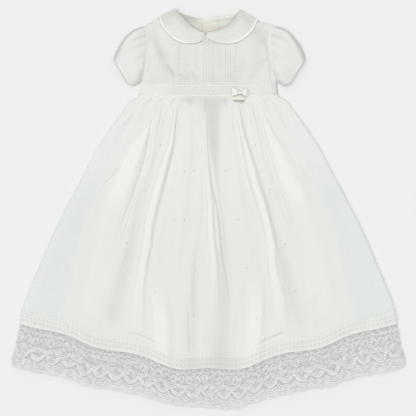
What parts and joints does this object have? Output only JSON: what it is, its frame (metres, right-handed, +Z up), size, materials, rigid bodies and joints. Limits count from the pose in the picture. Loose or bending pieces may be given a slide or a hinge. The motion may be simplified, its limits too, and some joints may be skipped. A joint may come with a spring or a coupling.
{
  "type": "christening gown",
  "caption": "White baby christening gown laid flat on its back, with a tucked bodice, round collar, puff sleeves, full skirt over a lining, ladder-stitched hem band and a scalloped lace edging",
  "frame": {"origin": "centre of the laid-out gown's footprint, on the surface it lies on", "axes": "+Z up out of the surface, away from the gown's back; +Y from hem to neck; +X to the right as the front is looked at"},
  "size_m": [0.728, 0.7364, 0.0142],
  "materials": {
    "voile": "fine plain-weave cotton voile, matt with a faint sheen on the tucks and piping",
    "skirt_voile": "sheer plain-weave cotton voile with tiny woven dots, soft folds, the lining shows through",
    "batiste": "opaque fine batiste lining, matt",
    "hemstitched_band": "crisp insertion band with two rows of ladder stitches between cords",
    "lace": "clear fine net with satin-stitched arches and buds, scalloped edge",
    "satin_ribbon": "glossy white satin ribbon",
    "shell_button": "polished white shell-like button",
    "champagne_metal": "plain champagne-coloured metal, softly brushed, no marking"
  },
  "bodies": {
    "root": {"bodice_front": "voile", "bodice_back_left": "voile", "bodice_back_right": "voile", "button_top": "shell_button", "button_middle": "shell_button", "button_bottom": "shell_button", "collar_left": "voile", "collar_right": "voile", "sleeve_left": "voile", "sleeve_right": "voile", "cuff_left": "voile", "cuff_right": "voile", "waistband_front": "voile", "waistband_back": "voile", "skirt_front": "skirt_voile", "skirt_back": "skirt_voile", "lining_front": "batiste", "lining_back": "batiste", "hem_band_front": "hemstitched_band", "hem_band_back": "hemstitched_band", "lace_front": "lace", "lace_back": "lace", "bow_loop_left": "satin_ribbon", "bow_loop_right": "satin_ribbon", "bow_knot": "satin_ribbon", "charm": "champagne_metal"}
  },
  "joints": []
}
